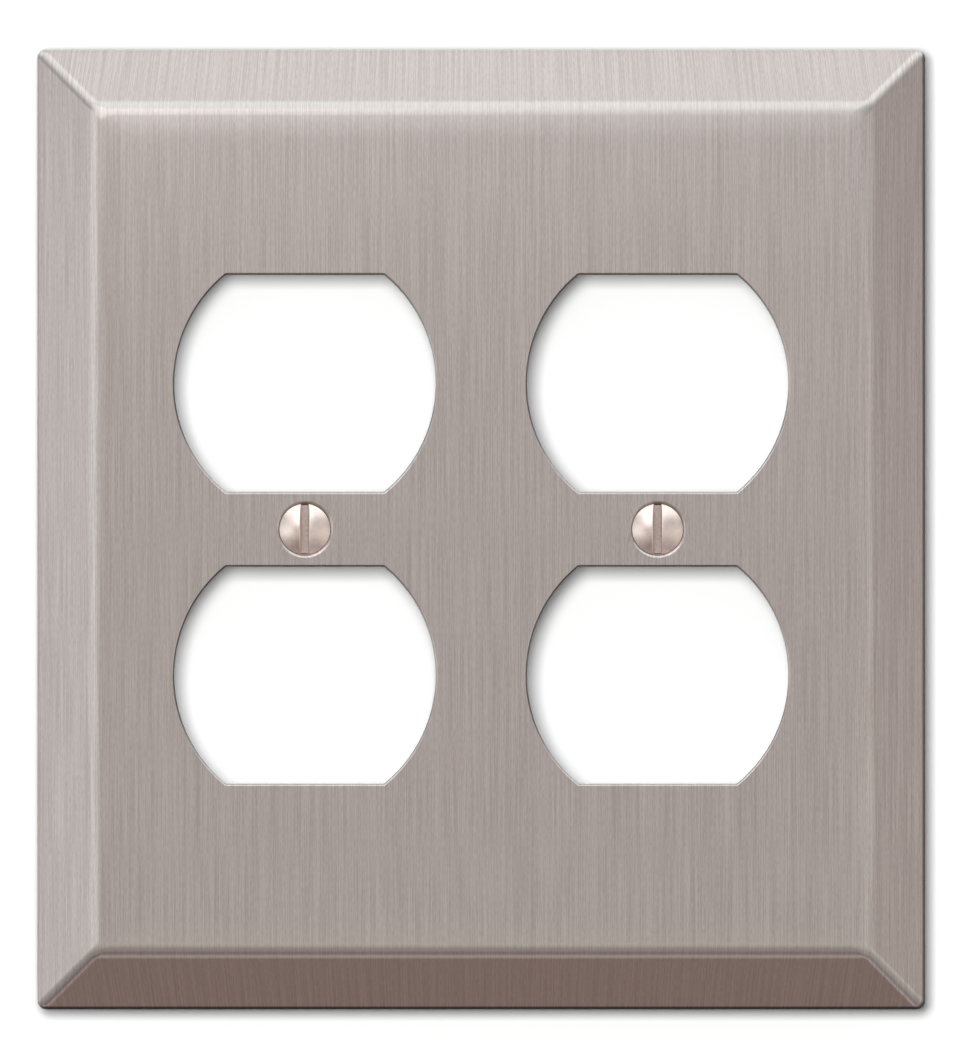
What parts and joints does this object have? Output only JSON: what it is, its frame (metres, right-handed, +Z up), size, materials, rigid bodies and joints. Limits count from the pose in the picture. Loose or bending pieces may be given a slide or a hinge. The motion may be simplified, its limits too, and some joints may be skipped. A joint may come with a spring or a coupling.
{
  "type": "wall plate cover",
  "caption": "Bevelled sheet-metal wall plate with shaped openings for duplex receptacles and captive slotted oval-head screws in formed countersinks.",
  "frame": {"origin": "centre of the back rim, on the wall plane", "axes": "+X to the right as seen from the room, +Y into the wall, +Z up; the front faces -Y"},
  "size_m": [0.116, 0.0136, 0.1254],
  "materials": {
    "brushed_nickel_plate": "brushed nickel plating on pressed steel, grain upright",
    "nickel_screw": "bright nickel plating on steel",
    "nylon": "natural nylon, moulded"
  },
  "bodies": {
    "plate": {"wall_plate": "brushed_nickel_plate"},
    "left_washer": {"left_retaining_washer": "nylon"},
    "left_screw": {"left_screw": "nickel_screw"},
    "right_washer": {"right_retaining_washer": "nylon"},
    "right_screw": {"right_screw": "nickel_screw"}
  },
  "joints": [
    {"name": "left_screw_travel", "type": "slide", "parent": "plate", "child": "left_washer", "axis": [0, -1, 0], "range_m": [0, 0.00225]},
    {"name": "left_screw_turn", "type": "hinge", "parent": "left_washer", "child": "left_screw", "pos_m": [-0.02302, 0, 0], "axis": [0, -1, 0], "continuous": true},
    {"name": "right_screw_travel", "type": "slide", "parent": "plate", "child": "right_washer", "axis": [0, -1, 0], "range_m": [0, 0.00225]},
    {"name": "right_screw_turn", "type": "hinge", "parent": "right_washer", "child": "right_screw", "pos_m": [0.02302, 0, 0], "axis": [0, -1, 0], "continuous": true}
  ]
}
